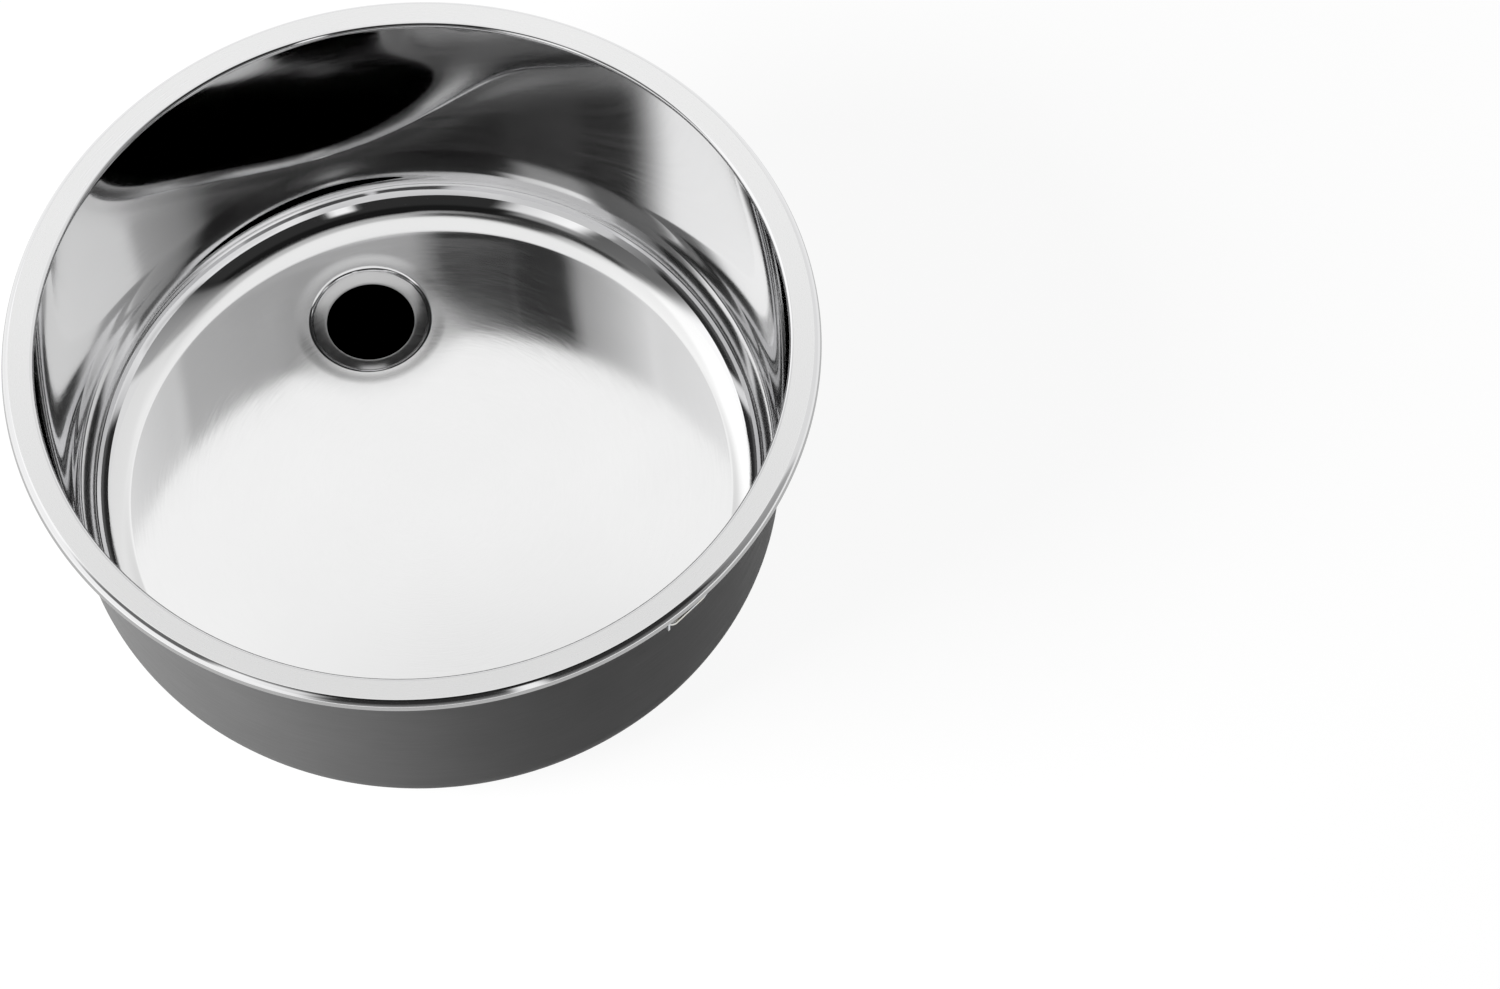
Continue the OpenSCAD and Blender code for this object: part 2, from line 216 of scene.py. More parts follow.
class ClampSizes(bpy.types.PropertyGroup):
    screw_d: FloatProperty(
        name="Screw", description="Diameter of the clamp screw over its thread",
        default=0.004, unit="LENGTH")
    pitch: FloatProperty(
        name="Pitch", description="Distance from one turn of the thread to the next",
        default=0.0007, unit="LENGTH")
    thread_h: FloatProperty(
        name="Thread", description="Depth of the thread", default=0.00042, unit="LENGTH")
    head_h: FloatProperty(
        name="Head", description="Height of the screw's head", default=0.0024, unit="LENGTH")
    head_round: FloatProperty(
        name="Head edge", description="Radius of the head's lower edge", default=0.001,
        unit="LENGTH")
    slot_w: FloatProperty(
        name="Slot width", description="Width of the cross slot", default=0.0009, unit="LENGTH")
    slot_l: FloatProperty(
        name="Slot length", description="Length of the cross slot", default=0.0042, unit="LENGTH")
    slot_d: FloatProperty(
        name="Slot depth", description="Depth of the cross slot", default=0.0011, unit="LENGTH")
    nut_af: FloatProperty(
        name="Nut", description="Width of the nut across its flats", default=0.007,
        unit="LENGTH")
    nut_bore: FloatProperty(
        name="Nut bore", description="Radius of the nut's bore", default=0.00205, unit="LENGTH")
    first_turn: FloatProperty(
        name="First clamp", description="Angle of the first clamp, counted from +X",
        default=math.radians(22.5), subtype="ANGLE")
    zinc: FloatVectorProperty(
        name="Zinc plate", description="Colour of the plated clamps",
        default=(0.60, 0.62, 0.65), subtype="COLOR")
    zinc_warm: FloatVectorProperty(
        name="Plate's tint", description="Colour of the plate where it has gone a little yellow",
        default=(0.66, 0.64, 0.58), subtype="COLOR")


class SoftSizes(bpy.types.PropertyGroup):
    seal_w: FloatProperty(
        name="Seal width", description="Width of the foam strip", default=0.003, unit="LENGTH")
    seal_round: FloatProperty(
        name="Seal edge", description="Radius of the strip's edges", default=0.0005,
        unit="LENGTH")
    seal_joint: FloatProperty(
        name="Seal joint", description="Gap where the strip's two ends meet", default=0.0006,
        unit="LENGTH")
    pad_corner: FloatProperty(
        name="Pad corner", description="Corner radius of the damping pad", default=0.018,
        unit="LENGTH")
    pad_edge: FloatProperty(
        name="Pad edge", description="Radius of the pad's softened edge", default=0.0005,
        unit="LENGTH")
    foam: FloatVectorProperty(
        name="Foam", description="Colour of the foam strip",
        default=(0.035, 0.035, 0.037), subtype="COLOR")
    foam_fleck: FloatVectorProperty(
        name="Foam flecks", description="Colour of the foam's lighter flecks",
        default=(0.08, 0.08, 0.085), subtype="COLOR")
    bitumen: FloatVectorProperty(
        name="Bitumen", description="Colour of the damping pad",
        default=(0.050, 0.048, 0.045), subtype="COLOR")
    bitumen_fleck: FloatVectorProperty(
        name="Bitumen flecks", description="Colour of the pad's mineral flecks",
        default=(0.16, 0.155, 0.15), subtype="COLOR")


class StageSizes(bpy.types.PropertyGroup):
    camera_at: FloatVectorProperty(
        name="Camera", description="Where the camera stands",
        default=(-0.2008, -1.0083, 1.9098), subtype="TRANSLATION", unit="LENGTH")
    look_round: FloatProperty(
        name="Look round", description="Compass turn of the view, counted from +Y",
        default=math.radians(-21.55), subtype="ANGLE")
    look_down: FloatProperty(
        name="Look down", description="How far the view points below level",
        default=math.radians(62.01), subtype="ANGLE")
    roll: FloatProperty(
        name="Roll", description="Tilt of the camera about its view",
        default=math.radians(1.69), subtype="ANGLE")
    lens: FloatProperty(
        name="Lens", description="Focal length in millimetres", default=89.64)
    frame_w: FloatProperty(
        name="Frame", description="Width of the camera's frame in millimetres", default=36.0)
    floor_r: FloatProperty(
        name="Floor", description="Radius of the studio floor", default=8.0, unit="LENGTH")
    paper: FloatVectorProperty(
        name="Floor colour", description="Colour of the studio floor",
        default=(0.9, 0.9, 0.9), subtype="COLOR")
    dome_r: FloatProperty(
        name="Dome", description="Radius of the dome of light round the bowl",
        default=30.0, unit="LENGTH")
    ambient: FloatProperty(
        name="Ambient", description="Even light that dull surfaces get from all sides",
        default=0.18)
    lamp_power: FloatProperty(
        name="Lamp", description="Power of the soft lamp at the left", default=125.0, unit="POWER")
    lamp_turn: FloatProperty(
        name="Lamp turn", description="Compass turn of the lamp from the camera",
        default=math.radians(-75), subtype="ANGLE")
    lamp_w: FloatProperty(
        name="Lamp width", description="Width of the soft lamp", default=1.6, unit="LENGTH")
    lamp_away: FloatProperty(
        name="Lamp distance", description="How far the lamp stands from the bowl's axis",
        default=2.6, unit="LENGTH")
    lamp_up: FloatProperty(
        name="Lamp height", description="Height of the lamp", default=1.5, unit="LENGTH")


# Section of the shell

def arc(x, z, r, start, end, steps):
    """Points of an arc in the section plane, angles in degrees."""
    turns = [math.radians(start + (end - start) * i / steps) for i in range(steps + 1)]
    return [(x + r * math.cos(a), z + r * math.sin(a)) for a in turns]


def drain_line(size, floor_z, dish_r):
    """The drain's upper line from the dish inwards: radius, height, slope and finish."""
    drain_r = DRAIN["dims"]["r_mm"] / 1000
    seat_r, seat_z = drain_r + size.seat_w, size.sheet + size.seat_rise
    seat_a = math.atan(size.seat_rise / (size.seat_w - size.seat_flat))
    bends = size.step_round + size.step_foot
    step_a = math.acos((bends - size.step_foot * (1 - math.cos(seat_a)) - size.step_drop) / bends)
    step_r = (seat_r + size.step_foot * (math.sin(step_a) - math.sin(seat_a))
              + size.step_round * math.sin(step_a))
    line = []
    for i in range(DISH_STEPS):
        u = 1 - i / DISH_STEPS
        slope = size.dish_drop * math.pi / 2 * math.sin(math.pi * u) / (dish_r - step_r)
        line.append((step_r + (dish_r - step_r) * u,
                     floor_z - size.dish_drop * (1 + math.cos(math.pi * u)) / 2,
                     math.atan(slope), "floor"))
    for i in range(STEP_STEPS):
        a = step_a * i / STEP_STEPS
        line.append((step_r - size.step_round * math.sin(a),
                     floor_z - size.dish_drop - size.step_round * (1 - math.cos(a)), a, "step"))
    for i in range(FOOT_STEPS + 1):
        a = step_a + (seat_a - step_a) * i / FOOT_STEPS
        line.append((seat_r + size.step_foot * (math.sin(a) - math.sin(seat_a)),
                     seat_z + size.step_foot * (math.cos(seat_a) - math.cos(a)), a,
                     "step" if i < FOOT_STEPS else "seat"))
    line.append((drain_r + size.seat_flat, size.sheet, 0.0, "seat"))
    line.append((drain_r, size.sheet, 0.0, "hole"))
    return line


def rings_of(size):
    """The shell's rings, from its outer edge over the inside to the drain hole and back underneath.
    Each is (centre y, radius, height, name of the finish of the faces up to the next ring)."""
    t = size.sheet
    drain_y = DRAIN["pos_m"][1]
    floor_z = t + size.seat_rise + size.step_drop + size.dish_drop
    bend, skirt = size.corner_r - size.skirt_r, math.degrees(size.skirt_a)
    corner_x = size.wall_r - size.wall_draft - size.corner_r
    skirt_z = floor_z + size.skirt_r
    corner_z = skirt_z + bend * math.cos(size.skirt_a)
    floor_r = corner_x + bend * math.sin(size.skirt_a)
    flange_in = size.wall_r + size.mouth_r
    flange_out = flange_in + size.flange_w
    crease_x, crease_z = flange_out - size.crease_r, RIM_Z - size.crease_r
    roll_x = crease_x - (size.roll_r - size.crease_r) * math.cos(size.roll_a)
    roll_z = crease_z - (size.roll_r - size.crease_r) * math.sin(size.roll_a)
    roll, lip = math.degrees(size.roll_a), math.degrees(size.lip_a)
    wall_top = RIM_Z - size.flange_fall - size.mouth_r
    draft = math.degrees(math.atan(size.wall_draft / (wall_top - corner_z)))
    tilt = math.degrees(math.atan(size.flange_fall / size.flange_w))
    under = math.degrees(math.asin(size.roll_r * math.sin(size.lip_a) / (size.roll_r - t)))
    ring = math.degrees(size.ring_turn) - 90
    dish_r = floor_r - drain_y - size.dish_edge

    def centred(points, finish):
        return [(0.0, r, z, finish) for r, z in points]

    def between(start, end, shares, finish):
        return centred([(start[0] + (end[0] - start[0]) * u, start[1] + (end[1] - start[1]) * u)
                        for u in shares], finish)

    drain = drain_line(size, floor_z, dish_r)
    flat = [(drain_y * i / FLOOR_STEPS, floor_r + (dish_r - floor_r) * i / FLOOR_STEPS)
            for i in range(1, FLOOR_STEPS)]
    mouth = arc(flange_in, wall_top, size.mouth_r, 90 + tilt, 180 - draft, MOUTH_STEPS)
    corner = arc(corner_x, corner_z, size.corner_r, -draft, ring, CORNER_STEPS)
    crease = arc(crease_x, crease_z, size.crease_r, roll, 90, CREASE_STEPS)
    dull = lip + LIP_TURN

    # The lowest part of the rolled edge takes the lip finish, whose darker colour is painted shade
    rings = centred(arc(roll_x, roll_z, size.roll_r, lip, dull, LIP_STEPS)[:-1], "lip")
    rings += centred(arc(roll_x, roll_z, size.roll_r, dull, roll, EDGE_STEPS), "edge")
    rings += centred(crease[1:-1], "edge") + centred(crease[-1:], "flange")
    rings += between(crease[-1], mouth[0], FLANGE_SHARES, "flange")
    rings += centred(mouth[:-1], "mouth") + centred(mouth[-1:], "wall")
    rings += between(mouth[-1], corner[0], WALL_SHARES, "wall")
    rings += centred(corner[:-1], "wall") + centred(corner[-1:], "floor")
    rings += centred(arc(corner_x, corner_z, size.corner_r, ring, skirt - 90, RING_STEPS)[1:],
                     "floor")
    rings += centred(arc(floor_r, skirt_z, size.skirt_r, skirt - 90, -90, SKIRT_STEPS)[1:],
                     "floor")
    rings += [(y, r, floor_z, "floor") for y, r in flat]
    rings += [(drain_y, r, z, finish) for r, z, _, finish in drain]

    outside = [(drain_y, r + t * math.sin(a), z - t * math.cos(a), "outside")
               for r, z, a, _ in reversed(drain)]
    outside += [(y, r, floor_z - t, "outside") for y, r in reversed(flat)]
    outside += centred(arc(floor_r, skirt_z, size.skirt_r + t, -90, skirt - 90, SKIRT_STEPS),
                       "outside")
    foot = arc(corner_x, corner_z, size.corner_r + t, skirt - 90, -draft, CORNER_STEPS)
    under_mouth = arc(flange_in, wall_top, size.mouth_r - t, 180 - draft, 90 + tilt,
                      UNDER_MOUTH_STEPS)
    outside += centred(foot[1:], "outside")
    outside += between(foot[-1], under_mouth[0], WALL_SHARES, "outside")
    outside += centred(under_mouth, "outside")
    outside += centred(arc(roll_x, roll_z, size.roll_r - t, roll, under, UNDER_ROLL_STEPS), "lip")
    return rings + outside


def linked(name, data):
    """A new object of the scene that shows this data."""
    made = bpy.data.objects.new(name, data)
    bpy.context.scene.collection.objects.link(made)
    return made


def closed_piece(name, mesh, sharp):
    """A piece with its faces turned outwards, smooth but for edges sharper than this."""
    bm = bmesh.new()
    bm.from_mesh(mesh)
    bmesh.ops.recalc_face_normals(bm, faces=bm.faces)
    bm.to_mesh(mesh)
    bm.free()
    mesh.shade_smooth()
    mesh.set_sharp_from_angle(angle=math.radians(sharp))
    return linked(name, mesh)


def revolve(name, rings, around, finishes):
    """A closed shell from rings, each joined to the next, with one material slot per finish."""
    mesh = bpy.data.meshes.new(name)
    turns = [2 * math.pi * j / around for j in range(around)]
    verts = [(r * math.cos(a), y + r * math.sin(a), z) for y, r, z, _ in rings for a in turns]
    faces, slots = [], []
    names = list(finishes)
    for i in range(len(rings)):
        k = (i + 1) % len(rings)
        for j in range(around):
            n = (j + 1) % around
            faces.append((i * around + j, k * around + j, k * around + n, i * around + n))
            slots.append(names.index(rings[i][3]))
    mesh.from_pydata(verts, [], faces)
    for finish in names:
        mesh.materials.append(finishes[finish])
    mesh.polygons.foreach_set("material_index", slots)
    return closed_piece(name, mesh, SHELL_SHARP)


# Small parts

def lathe(rings, cap_start=True, cap_end=True):
    """Points and faces of a turned part; each ring is a list of points, all equally long."""
    wide = len(rings[0])
    verts = [point for ring in rings for point in ring]
    faces = [(i * wide + j, i * wide + (j + 1) % wide,
              (i + 1) * wide + (j + 1) % wide, (i + 1) * wide + j)
             for i in range(len(rings) - 1) for j in range(wide)]
    if cap_start:
        faces.append(tuple(reversed(range(wide))))
    if cap_end:
        faces.append(tuple((len(rings) - 1) * wide + j for j in range(wide)))
    return verts, faces


def new_mesh(name, verts, faces, paint):
    mesh = bpy.data.meshes.new(name)
    mesh.from_pydata(verts, [], faces)
    mesh.materials.append(paint)
    return mesh


def new_piece(name, verts, faces, paint, sharp=METAL_SHARP):
    return closed_piece(name, new_mesh(name, verts, faces, paint), sharp)


def apply_modifiers(made):
    """Replaces a piece's mesh with the result of its modifiers."""
    shaped = made.evaluated_get(bpy.context.evaluated_depsgraph_get())
    mesh = bpy.data.meshes.new_from_object(shaped)
    made.modifiers.clear()
    made.data = mesh


def screw_rings(part, head_r, low, high):
    """A screw on its own axis from the middle of its head up to its tip."""
    turns = [2 * math.pi * j / THREAD_AROUND for j in range(THREAD_AROUND)]
    root = part.screw_d / 2 - part.thread_h
    neck = low + part.head_h
    profile = arc(head_r - part.head_round, low + part.head_round, part.head_round, -90, 0,
                  HEAD_STEPS)
    profile += [(head_r, neck - HEAD_BREAK), (head_r - HEAD_BREAK, neck), (root, neck)]
    rings = [[(r * math.cos(a), r * math.sin(a), z) for a in turns] for r, z in profile]
    steps = round((high - neck) / part.pitch * THREAD_STEPS)
    for i in range(1, steps + 1):
        z = neck + (high - neck) * i / steps
        limit = min((z - neck) / part.pitch, (high - z) / part.pitch * TIP_FADE, 1.0)
        ring = []
        for a in turns:
            phase = ((z - neck) / part.pitch - a / (2 * math.pi)) % 1.0
            crest = min(max(FLANK_SLOPE * (1 - abs(2 * phase - 1)) - ROOT_WIDTH, 0.0), 1.0)
            r = root + part.thread_h * min(crest, limit)
            ring.append((r * math.cos(a), r * math.sin(a), z))
        rings.append(ring)
    return rings


def nut_rings(part, low, high, turn):
    """A hexagon nut with chamfered ends, from the bore round the outside and back."""
    face_r = part.nut_af / 2 * NUT_FACE
    around = [2 * math.pi * j / NUT_AROUND for j in range(NUT_AROUND)]
    flat = math.pi / 3
    corner = [part.nut_af / 2 / math.cos((a + flat / 2) % flat - flat / 2) for a in around]

    def ring(radii, heights):
        return [(r * math.cos(a + turn), r * math.sin(a + turn), z)
                for a, r, z in zip(around, radii, heights)]

    drop = [(r - face_r) * math.tan(NUT_CHAMFER) for r in corner]
    bore, face = [part.nut_bore] * NUT_AROUND, [face_r] * NUT_AROUND
    bottom, top = [low] * NUT_AROUND, [high] * NUT_AROUND
    return [ring(bore, bottom), ring(face, bottom), ring(corner, [low + d for d in drop]),
            ring(corner, [high - d for d in drop]), ring(face, top), ring(bore, top),
            ring(bore, bottom)]


# Shared shader effects

# Sockets of a Mix node for colours, which share their names with those for its other kinds
MIX_FACTOR, MIX_FROM, MIX_TO, MIX_OUT = 0, 6, 7, 2

# The middle of the noise, where nearly all of its values lie
NOISE_LOW, NOISE_HIGH = 0.3, 0.7

# Keeps the grain from dividing by zero on the bowl's own axis
AXIS_R = 0.001


def new_group(name, inputs, outputs):
    """A shader node group with named values that go in, with their defaults, and come out."""
    group = bpy.data.node_groups.new(name, "ShaderNodeTree")
    for label, value in inputs.items():
        socket = group.interface.new_socket(label, in_out="INPUT", socket_type="NodeSocketFloat")
        socket.default_value = value
    for label in outputs:
        group.interface.new_socket(label, in_out="OUTPUT", socket_type="NodeSocketFloat")
    group.nodes.new("NodeGroupInput").name = "In"
    group.nodes.new("NodeGroupOutput").name = "Out"
    return group


def plug(tree, made, links):
    """Links or sets a node's inputs, which are given by name or number."""
    for key, source in links.items():
        if isinstance(source, bpy.types.NodeSocket):
            tree.links.new(source, made.inputs[key])
        else:
            made.inputs[key].default_value = source


def node(tree, kind, links=None, **values):
    """Adds a node, sets its properties, and links or sets its inputs."""
    made = tree.nodes.new(kind)
    for key, value in values.items():
        setattr(made, key, value)
    plug(tree, made, links or {})
    return made


def math_node(tree, operation, *values):
    return node(tree, "ShaderNodeMath", dict(enumerate(values)), operation=operation).outputs[0]


def spread(tree, value, low, high, start=NOISE_LOW, end=NOISE_HIGH, kind="LINEAR"):
    """A value that goes from low to high while another goes from start to end."""
    return node(tree, "ShaderNodeMapRange", {
        "Value": value, "From Min": start, "From Max": end, "To Min": low, "To Max": high},
        interpolation_type=kind).outputs[0]


def noise(tree, place, scale, detail=2.0, roughness=0.5):
    return node(tree, "ShaderNodeTexNoise", {
        "Vector": place, "Scale": scale, "Detail": detail, "Roughness": roughness}).outputs["Fac"]


def own_point(tree):
    """The point in the object's own frame."""
    return node(tree, "ShaderNodeTexCoord").outputs["Object"]


def length_of(tree, x, y):
    """How far a point lies from the origin, from its two coordinates."""
    squares = [math_node(tree, "MULTIPLY", side, side) for side in (x, y)]
    return math_node(tree, "SQRT", math_node(tree, "ADD", *squares))


def turning_grain():
    """Fine marks that run round the bowl's axis, as a polishing wheel leaves them."""
    group = new_group(
        "Turning Grain",
        {"Around": 9.0, "Across": 900.0, "Cloud Size": 14.0},
        ("Marks", "Cloud"))
    given = group.nodes["In"].outputs
    place = own_point(group)
    x, y, z = node(group, "ShaderNodeSeparateXYZ", {0: place}).outputs
    radius = length_of(group, x, y)
    safe = math_node(group, "MAXIMUM", radius, AXIS_R)
    along_x = math_node(group, "MULTIPLY", math_node(group, "DIVIDE", x, safe), given["Around"])
    along_y = math_node(group, "MULTIPLY", math_node(group, "DIVIDE", y, safe), given["Around"])
    across = math_node(group, "MULTIPLY", math_node(group, "ADD", radius, z), given["Across"])
    wound = node(group, "ShaderNodeCombineXYZ", {0: along_x, 1: along_y, 2: across}).outputs[0]
    plug(group, group.nodes["Out"], {
        "Marks": noise(group, wound, 1.0, 3.0, 0.6),
        "Cloud": noise(group, place, given["Cloud Size"])})
    return group


def wall_wave():
    """The slow swell of the polished wall and of its foot, which bends what it mirrors. Four dents
    stand round it, the first one at the angle Turn."""
    group = new_group("Wall Wave", {
        "Low": 0.036, "High": 0.1745, "Swell": 0.0024, "Dent": 0.0100, "Turn": math.radians(84),
        "Lobes": 2.0, "Narrow": 8.0, "Foot": 0.0022, "Foot Low": 0.020, "Foot High": 0.054},
        ("Height",))
    given = group.nodes["In"].outputs
    x, y, z = node(group, "ShaderNodeSeparateXYZ", {0: own_point(group)}).outputs
    share = spread(group, z, 0.0, 1.0, given["Low"], given["High"])
    rest = math_node(group, "SUBTRACT", 1.0, share)
    rise = math_node(group, "MULTIPLY", math_node(group, "MULTIPLY", share, share), rest)
    turn = math_node(group, "SUBTRACT", math_node(group, "ARCTAN2", y, x), given["Turn"])
    lobe = math_node(group, "POWER", math_node(
        group, "COSINE", math_node(group, "MULTIPLY", turn, given["Lobes"])), given["Narrow"])
    amount = math_node(group, "ADD", given["Swell"], math_node(
        group, "MULTIPLY", given["Dent"], lobe))
    swell = math_node(group, "MULTIPLY", math_node(group, "MULTIPLY", amount, rise), -1.0)
    foot = spread(group, z, given["Foot"], 0.0, given["Foot Low"], given["Foot High"],
                  "SMOOTHSTEP")
    plug(group, group.nodes["Out"], {"Height": math_node(group, "ADD", swell, foot)})
    return group


def drain_haze():
    """Where the polishing wheel was lifted round the drain, from 1 at the step down to 0."""
    group = new_group("Drain Haze", {"Back": 0.12, "Near": 0.034, "Far": 0.062}, ("Mask",))
    given = group.nodes["In"].outputs
    x, y, _ = node(group, "ShaderNodeSeparateXYZ", {0: own_point(group)}).outputs
    away = math_node(group, "SUBTRACT", y, given["Back"])
    radius = length_of(group, x, away)
    mask = spread(group, radius, 1.0, 0.0, given["Near"], given["Far"], "SMOOTHSTEP")
    plug(group, group.nodes["Out"], {"Mask": mask})
    return group


def plate_patches():
    """Soft patches and fine marks of a plated or rolled surface."""
    group = new_group("Plate Patches", {"Patch Size": 120.0, "Mark Size": 1800.0},
                      ("Patch", "Marks"))
    given = group.nodes["In"].outputs
    place = own_point(group)
    patch = noise(group, place, given["Patch Size"], 3.0, 0.6)
    plug(group, group.nodes["Out"], {
        "Patch": spread(group, patch, 0.0, 1.0, 0.35, 0.65, "SMOOTHSTEP"),
        "Marks": noise(group, place, given["Mark Size"], 2.0, 0.7)})
    return group


def cell_skin():
    """Small cells and flecks of a foam or a filled sheet."""
    group = new_group("Cell Skin", {
        "Cell Size": 1500.0, "Fleck Size": 900.0, "Fleck Share": 0.2, "Fleck Top": 0.85,
        "Fleck Edge": 0.06}, ("Cells", "Flecks"))
    given = group.nodes["In"].outputs
    place = own_point(group)
    cells = node(group, "ShaderNodeTexVoronoi", {"Vector": place, "Scale": given["Cell Size"]},
                 feature="SMOOTH_F1")
    start = math_node(group, "SUBTRACT", given["Fleck Top"], given["Fleck Share"])
    end = math_node(group, "ADD", start, given["Fleck Edge"])
    plug(group, group.nodes["Out"], {
        "Cells": cells.outputs["Distance"],
        "Flecks": spread(group, noise(group, place, given["Fleck Size"]), 0.0, 1.0, start, end)})
    return group


def group_node(tree, group, **values):
    made = tree.nodes.new("ShaderNodeGroup")
    made.node_tree = group
    for label, value in values.items():
        made.inputs[label.replace("_", " ")].default_value = value
    return made


def new_material(name):
    made = bpy.data.materials.new(name)
    made.use_nodes = True
    tree = made.node_tree
    return made, tree, tree.nodes["Principled BSDF"]


def bump(tree, height, distance, normal=None):
    """A normal bent by a height, on top of another normal where one is given."""
    links = {"Height": height, "Strength": 1.0, "Distance": distance}
    if normal is not None:
        links["Normal"] = normal
    return node(tree, "ShaderNodeBump", links).outputs[0]


def steel(name, grain, colour, rough, depth, around=9.0, across=900.0, tone=0.04, wave=None,
          haze=None, haze_rough=0.13, metallic=1.0, specular=0.5):
    """Bare stainless steel whose marks run round the bowl. Its roughness goes from the first to
    the second value of rough, its colour is darkened by tone in clouds, and where the haze lies
    it gets rougher by haze_rough."""
    made, tree, skin = new_material(name)
    marks = group_node(tree, grain, Around=around, Across=across)
    shade = spread(tree, marks.outputs["Cloud"], 1 - tone, 1.0, 0.0, 1.0)
    tint = node(tree, "ShaderNodeMix", {
        MIX_FACTOR: 1.0, MIX_FROM: (*colour, 1.0), MIX_TO: shade},
        data_type="RGBA", blend_type="MULTIPLY")
    dullness = spread(tree, marks.outputs["Marks"], *rough)
    if haze:
        blur = group_node(tree, haze, Back=DRAIN["pos_m"][1]).outputs["Mask"]
        dullness = math_node(tree, "MULTIPLY_ADD", blur, haze_rough, dullness)
    swell = bump(tree, group_node(tree, wave).outputs["Height"], 1.0) if wave else None
    plug(tree, skin, {
        "Metallic": metallic, "Specular IOR Level": specular,
        "Base Color": tint.outputs[MIX_OUT], "Roughness": dullness,
        "Normal": bump(tree, marks.outputs["Marks"], depth, swell)})
    return made


def blended(tree, factor, low, high):
    """A colour that goes from one to the other with a factor."""
    made = node(tree, "ShaderNodeMix", {
        MIX_FACTOR: factor, MIX_FROM: (*low, 1.0), MIX_TO: (*high, 1.0)}, data_type="RGBA")
    return made.outputs[MIX_OUT]


def zinc_plate(part, patches, rough=(0.26, 0.44), depth=3e-6):
    """Bright zinc plate with a faint yellow and blue play and a fine grain."""
    made, tree, skin = new_material("Zinc Plate")
    marks = group_node(tree, patches)
    plug(tree, skin, {
        "Metallic": 1.0,
        "Base Color": blended(tree, marks.outputs["Patch"], part.zinc, part.zinc_warm),
        "Roughness": spread(tree, marks.outputs["Marks"], *rough),
        "Normal": bump(tree, marks.outputs["Marks"], depth)})
    return made


def cellular(name, cells, dark, light, rough, depth, **values):
    """A dull black material with small cells and lighter flecks."""
    made, tree, skin = new_material(name)
    marks = group_node(tree, cells, **values)
    plug(tree, skin, {
        "Specular IOR Level": 0.35,
        "Base Color": blended(tree, marks.outputs["Flecks"], dark, light),
        "Roughness": spread(tree, marks.outputs["Cells"], *rough, 0.0, 0.8),
        "Normal": bump(tree, marks.outputs["Cells"], depth)})
    return made


# Studio

# Soft cards of light and dark that the steel mirrors. Each card: where it starts and ends round the
# bowl, how soft its two sides are, where it starts and ends above level, how soft its lower and
# upper edge are, and its light at the start and at the end. All angles are degrees; those round the
# bowl count from the camera to its right. A later card covers an earlier one, and where there is no
# card the dome is white.
CARDS = {
    "far_card": (140, 220, 15, 20, 56, 8, 0.80, 0.80),
    "floor_glow": (150, 210, 12, 57, 72, 3, 1.09, 1.09),
    "floor_dip": (169, 186, 7, 64.4, 67.5, 1.4, 0.82, 0.82),
    "upper_band": (-8, 90, 5, 57.8, 68, 2, 0.50, 0.62),
    "left_light": (90, 134, 6, 57.8, 68, 4, 0.78, 1.05),
    "right_light": (-140, -86, 9, 6, 68, 5, 1.30, 1.20),
    "right_top": (-140, -88, 9, 57, 70, 2, 1.12, 1.00),
    "right_band": (-90, -58, 3, 57.5, 68, 3, 1.02, 0.40),
    "left_side": (87, 134, 2, -4, 58, 2, 0.86, 0.92),
    "left_grey": (58, 88, 2, -4, 59, 2, 0.22, 0.46),
    "dark_card": (-86, 59.5, 10, 18, 59, 1.5, 0.014, 0.010),
    "dark_side": (30, 59.5, 2, 18, 59, 1.5, 0.012, 0.012),
    "dark_low": (-34, 58, 4, 18, 44, 3, 0.030, 0.035),
    "right_haze": (-84, -39, 9, 20, 52.0, 1.2, 0.20, 0.09),
    "back_glow": (-57, -36, 4, 37, 48.5, 2.5, 0.38, 0.34),
    "streak": (-59.5, -35, 3.5, 50, 68, 3, 0.045, 0.030),
    "streak_fade": (-37, -14, 1, 57.5, 68, 2, 0.030, 0.035),
    "streak_end": (-15.5, -4.5, 1, 57.5, 68, 2, 0.035, 0.50),
    "streak_low": (-42, -7, 4, 56.5, 61.2, 1.2, 0.07, 0.50),
    "middle_card": (-30, 58, 5, -4, 20, 2, 0.12, 0.12),
    "lower_card": (-24, 58, 5, -4, 9, 3, 0.30, 0.18),
    "low_light": (-130, -36, 6, -4, 21, 2, 1.10, 1.10),
    "low_lamp": (-54, -31, 4, 18, 40, 3, 1.25, 0.80),
    "slim_lamp": (11.5, 18.5, 1.5, -4, 36, 3, 1.10, 1.10),
}

# The dome reaches over these degrees above level, in steps of this many degrees
DOME_LOW, DOME_HIGH, DOME_STEP = -4, 72, 1.5


def stage_piece(name, verts, faces, paint):
    made = linked(name, new_mesh(name, verts, faces, paint))
    return made


def disc(name, radius, height, paint):
    turns = [2 * math.pi * i / DISC_AROUND for i in range(DISC_AROUND)]
    verts = [(radius * math.cos(a), radius * math.sin(a), height) for a in turns]
    return stage_piece(name, verts, [tuple(range(DISC_AROUND))], paint)


def seen_directly(tree):
    """1 for what the camera sees itself, in a mirror or through glass, and 0 for other light."""
    path = node(tree, "ShaderNodeLightPath")
    return math_node(tree, "MAXIMUM", path.outputs["Is Camera Ray"], math_node(
        tree, "MAXIMUM", path.outputs["Is Glossy Ray"], path.outputs["Is Transmission Ray"]))


def one_sided(tree, shader):
    """Shows a shader from above only, so that the underside of the bowl can be looked at."""
    below = node(tree, "ShaderNodeNewGeometry").outputs["Backfacing"]
    clear = node(tree, "ShaderNodeBsdfTransparent")
    blend = node(tree, "ShaderNodeMixShader", {0: below, 1: shader, 2: clear.outputs[0]})
    tree.links.new(blend.outputs[0], tree.nodes["Material Output"].inputs["Surface"])


